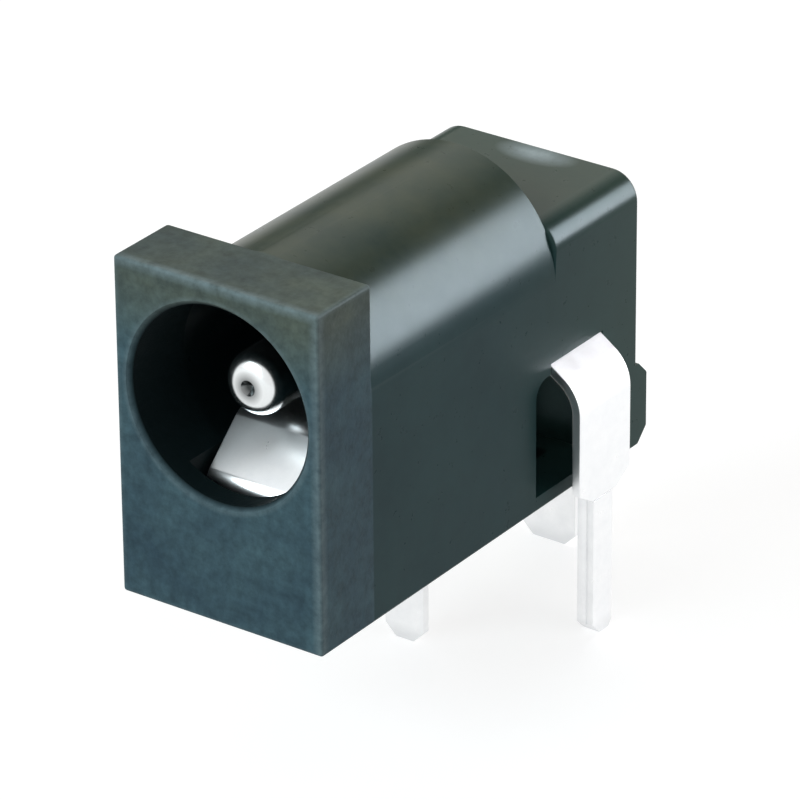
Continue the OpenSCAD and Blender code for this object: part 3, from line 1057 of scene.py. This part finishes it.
def make_floor():
    """A pale floor under the tails' tips; it keeps the shadow and stays white to the camera."""
    bpy.ops.object.select_all(action="DESELECT")
    bpy.ops.mesh.primitive_plane_add(size=4, location=(0, 0, TAIL_END * MM))
    floor = added("floor")
    material, tree, shader = make_matt("white floor", FLOOR_GREY)
    shader.inputs["Emission Color"].default_value = (1, 1, 1, 1)
    seen = ray_mask(tree, "Is Glossy Ray", "Is Transmission Ray", "Is Camera Ray")
    tree.links.new(product(tree, seen, FLOOR_GLOW), shader.inputs["Emission Strength"])
    floor.data.materials.append(material)


def make_world():
    """White to the camera and to reflections, with a soft fill for the rest."""
    world = bpy.data.worlds.new("white studio")
    bpy.context.scene.world = world
    world.use_nodes = True
    tree = world.node_tree
    back = tree.nodes["Background"]
    seen = ray_mask(tree, "Is Camera Ray", "Is Glossy Ray", "Is Transmission Ray")
    strength = math_node(tree, "MULTIPLY_ADD", seen, 1 - FILL, FILL)
    tree.links.new(strength, back.inputs["Strength"])
    back.inputs["Color"].default_value = (1, 1, 1, 1)


def facing(toward, distance, along):
    """The place of a flat thing that faces the jack; along is the way its width runs."""
    z_axis = Vector(toward).normalized()
    x_axis = (Vector(along) - Vector(along).dot(z_axis) * z_axis).normalized()
    turn = Matrix((x_axis, z_axis.cross(x_axis), z_axis)).transposed().to_4x4()
    return Matrix.Translation(AIM * MM + z_axis * distance) @ turn


def add_softbox(name, toward, distance, size, radiance, along=(0, 0, 1), colour=(1, 1, 1)):
    """A rectangular lamp."""
    lamp = bpy.data.lights.new(name, "AREA")
    lamp.shape = "RECTANGLE"
    lamp.size, lamp.size_y = size
    lamp.energy = radiance * math.pi * size[0] * size[1]
    lamp.color = colour
    obj = bpy.data.objects.new(name, lamp)
    obj.matrix_world = facing(toward, distance, along)
    bpy.context.scene.collection.objects.link(obj)
    return obj


def add_card(name, toward, distance, size, along):
    """A black card, seen only in gloss, which ends the reflection beside it."""
    bpy.ops.object.select_all(action="DESELECT")
    bpy.ops.mesh.primitive_plane_add(size=1)
    card = added(name.replace(" ", "_"))
    card.matrix_world = facing(toward, distance, along) @ Matrix.Diagonal((*size, 1, 1))
    material, _, _ = make_matt("black card", CARD_BLACK)
    card.data.materials.append(material)
    card.visible_camera = card.visible_diffuse = card.visible_shadow = False


def make_camera():
    """A long lens in front of the jack, above it and to its right."""
    azimuth, elevation = math.radians(CAMERA_AZIMUTH), math.radians(CAMERA_ELEVATION)
    back = Vector((
        math.sin(azimuth) * math.cos(elevation),
        -math.cos(azimuth) * math.cos(elevation),
        math.sin(elevation),
    ))
    data = bpy.data.cameras.new("camera")
    data.lens = CAMERA_LENS
    data.sensor_width = 36
    data.clip_start, data.clip_end = 0.01, 20
    camera = bpy.data.objects.new("camera", data)
    turn = (-back).to_track_quat("-Z", "Y").to_matrix().to_4x4()
    roll = Matrix.Rotation(math.radians(CAMERA_ROLL), 4, "Z")
    camera.matrix_world = Matrix.Translation((AIM + back * CAMERA_DISTANCE) * MM) @ turn @ roll
    bpy.context.scene.collection.objects.link(camera)
    bpy.context.scene.camera = camera


bpy.context.scene.view_settings.view_transform = "Standard"
make_camera()
grain = make_grain_group()
lines = make_line_group()
plastic = make_plastic(grain, lines)
tin = make_tin(grain, lines)
nickel = make_nickel(grain, lines)
make_housing(plastic)
make_pin(nickel)
make_strap(tin)
make_spring(tin)
make_switch(tin)
make_floor()
make_world()
strip = add_softbox(
    "right back strip", (0.6435, 0.726, 0.2406), NEAR, (0.195, 0.06), 37,
    along=(0.35, 0, -0.937), colour=(0.97, 0.96, 1.0),
)
strip.visible_diffuse = False
add_softbox("right softbox", (0.85, 0.2, 0.4), FAR, (0.25, 0.25), 1.3)
add_softbox(
    "front softbox", (-0.35, -0.9, 0.45), FAR, (0.25, 0.25), 6.0, colour=(0.80, 0.95, 1.0)
)
add_softbox(
    "top left softbox", (-0.52, 0.73, 0.55), FAR, (0.3, 0.3), 0.9, colour=(1.0, 0.92, 0.74)
)
add_card("dark card", (0.235, 0.726, 0.6456), NEAR, (0.08, 0.16), along=(0.94, 0, -0.342))
add_card("left card", (-0.645, 0.726, 0.236), NEAR, (0.08, 0.12), along=(0.343, 0, 0.939))
